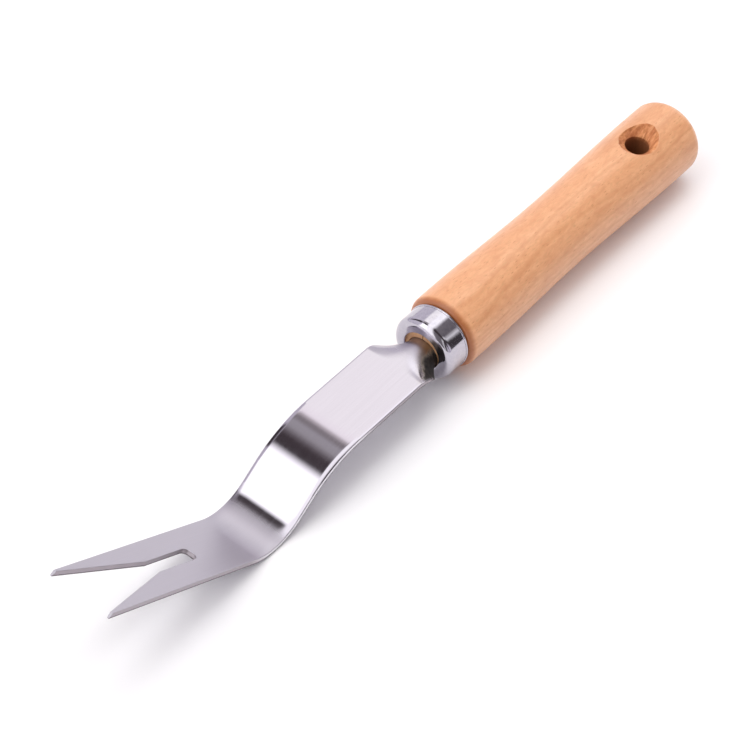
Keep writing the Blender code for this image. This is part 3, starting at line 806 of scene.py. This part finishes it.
# %% [markdown]
# ## The studio
# The tool lies on a plain pale floor in a light tent. Polished steel shows its surroundings, so the tent is
# drawn with care. From the grip's end to the blade's end it goes from a faint lilac through bright and grey
# cloth to a dark slit overhead, and then bright cloth again. Its colour depends only on the direction that a
# ray leaves in: the angle round the y axis, which runs across the blade, and the share of y itself.

# %% Floor
floor_shape = bmesh.new()
bmesh.ops.create_grid(floor_shape, x_segments=8, y_segments=8, size=5.0)
floor_mesh = bpy.data.meshes.new("floor")
floor_shape.to_mesh(floor_mesh)
floor_shape.free()
floor = bpy.data.objects.new("floor", floor_mesh)
bpy.context.scene.collection.objects.link(floor)
matt, tree, shader = new_material("paper_matt_white")
shader.inputs["Base Color"].default_value = hex_colour("#F8F8F9")
shader.inputs["Roughness"].default_value = 0.9
shader.inputs["Specular IOR Level"].default_value = 0.1
floor_mesh.materials.append(matt)
print("floor finish:", matt.name)

# %% Directions in the light tent
world = bpy.data.worlds.new("light_tent")
bpy.context.scene.world = world
world.use_nodes = True
tree = world.node_tree
tree.nodes.clear()
ray = node(tree, "ShaderNodeTexCoord").outputs["Generated"]
way = node(tree, "ShaderNodeSeparateXYZ", Vector=ray).outputs
angle = node(tree, "ShaderNodeMath", {"operation": "ARCTAN2"}, in_0=way["X"], in_1=way["Z"])
turned = node(tree, "ShaderNodeMapRange", Value=angle.outputs[0], From_Min=-math.pi, From_Max=math.pi)


def at(degrees):
    """Place on the ramp of a direction, in degrees from straight up towards +X."""
    return (degrees + 180) / 360


print("straight up is at", at(0), "on the ramp")

# %% Along the tent
cloth = node(tree, "ShaderNodeValToRGB", {"stops": [
    (at(-100), hex_colour("#F4F1F8")),
    (at(-66), hex_colour("#F8F5FA")),
    (at(-52), hex_colour("#FFFCFF", 1.08)),
    (at(-40), hex_colour("#FFFEFB", 1.66)),
    (at(-24), hex_colour("#FFFAFB", 1.60)),
    (at(-20.5), hex_colour("#E6DDDE")),
    (at(-17), hex_colour("#A49D9F")),
    (at(-14), hex_colour("#A49D9F")),
    (at(-10), hex_colour("#C8C4C8")),
    (at(-3), hex_colour("#C3BFC2")),
    (at(4), hex_colour("#7C7477")),
    (at(8), hex_colour("#50464A")),
    (at(19), hex_colour("#4C4347")),
    (at(24), hex_colour("#FFFFFF", 1.5)),
    (at(28), hex_colour("#FFFFFF", 2.4)),
    (at(75), hex_colour("#FFFFFF", 2.2)),
    (at(95), hex_colour("#E9E6EC")),
]}, Fac=turned.outputs[0]).outputs[0]

# %% [markdown]
# The cloth above is only a band of the tent. Across the blade, outside that band, one side is a faint lilac
# that turns into bright cloth, and the other is grey, with one narrow light streak and a dark one beyond it.
# The round ferrule shows all of these. The dark slit is carried on to both sides as well, where it draws the
# thin dark line along the ferrule's rounded nose. It is left out close to the band, which is bright there.

# %% Across the tent
across = node(tree, "ShaderNodeMapRange", Value=way["Y"], From_Min=-1.0, From_Max=1.0).outputs[0]
sides = node(tree, "ShaderNodeValToRGB", {"stops": [
    (0.19, hex_colour("#EFEAF5")),
    (0.28, hex_colour("#F4F0F8")),
    (0.36, hex_colour("#FFFFFF", 1.8)),
    (0.48, hex_colour("#FFFFFF", 1.8)),
    (0.56, hex_colour("#8C878B")),
    (0.78, hex_colour("#7E797D")),
    (0.84, hex_colour("#FFFFFF", 1.1)),
    (0.88, hex_colour("#4A4548")),
    (0.92, hex_colour("#4A4548")),
    (0.97, hex_colour("#EFEAF5")),
]}, Fac=across).outputs[0]
middle = band(tree, way["Y"], -0.56, -0.295, 0.04)
tent = node(tree, "ShaderNodeMix", {"data_type": "RGBA"}, Factor=middle, in_6=sides, in_7=cloth).outputs[2]
gap = band(tree, turned.outputs[0], at(-6), at(26), at(3) - at(0))
outer = band(tree, way["Y"], -0.60, 0.06, 0.05)
beside = node(tree, "ShaderNodeMath", {"operation": "SUBTRACT", "use_clamp": True}, in_0=gap,
              in_1=outer).outputs[0]
tent = node(tree, "ShaderNodeMix", {"data_type": "RGBA"}, Factor=beside, in_6=tent,
            in_7=hex_colour("#4E4649")).outputs[2]
seen = node(tree, "ShaderNodeLightPath").outputs["Is Camera Ray"]
shown = node(tree, "ShaderNodeMix", {"data_type": "RGBA"}, Factor=seen, in_6=tent,
             in_7=hex_colour("#F7F7F8")).outputs[2]
background = node(tree, "ShaderNodeBackground", Color=shown, Strength=1.0)
node(tree, "ShaderNodeOutputWorld", Surface=background.outputs[0])
print("light tent:", len(tree.nodes), "nodes")


# %% Lamps
def soft_lamp(name, place, target, size, watts, colour):
    """A large square lamp that lights the tool but isn't itself mirrored in the steel."""
    lamp = bpy.data.lights.new(name, "AREA")
    lamp.shape = "SQUARE"
    lamp.size = size
    lamp.energy = watts
    lamp.color = hex_colour(colour)[:3]
    holder = bpy.data.objects.new(name, lamp)
    holder.location = place
    holder.rotation_euler = (Vector(target) - Vector(place)).to_track_quat("-Z", "Y").to_euler()
    holder.visible_glossy = False
    bpy.context.scene.collection.objects.link(holder)


soft_lamp("key", (0.2, -0.3, 1.8), (0, 0, 0), 2.0, 13.5, "#FFFBF7")
soft_lamp("fill", (-0.7, 0.6, 1.4), (0, 0, 0), 1.6, 7.0, "#FBF9FF")
print("lamps:", len(bpy.data.lights))

# %% [markdown]
# ## The camera
# The camera looks down at the tool from in front and to its left, through a long lens, so that the grip
# runs up to the right and hardly tapers with distance. It is placed as a photographer would say it: what it
# aims at, how far away it stands, its angle round the tool and above the floor, and how far it is rolled.

# %% Camera
AIM = Vector((12.68 * MM, -4.34 * MM, 16.49 * MM))
DISTANCE = 850 * MM
AZIMUTH, ELEVATION, ROLL = math.radians(35.921), math.radians(48.1), math.radians(4.679)
lens = bpy.data.cameras.new("camera")
lens.sensor_width = 36.0
lens.lens = 115.6
lens.clip_start = 0.01
camera = bpy.data.objects.new("camera", lens)
level = Vector((-math.sin(AZIMUTH), math.cos(AZIMUTH), 0))
back = Vector((math.cos(AZIMUTH) * math.cos(ELEVATION), math.sin(AZIMUTH) * math.cos(ELEVATION),
               math.sin(ELEVATION)))
right = Matrix.Rotation(ROLL, 3, back) @ level
facing = Matrix((right, back.cross(right), back)).transposed().to_4x4()
camera.matrix_world = Matrix.Translation(AIM + back * DISTANCE) @ facing
bpy.context.scene.collection.objects.link(camera)
bpy.context.scene.camera = camera
print("camera stands at", tuple(round(value, 4) for value in camera.matrix_world.translation), "m")
bpy.context.scene.view_settings.view_transform = "Standard"
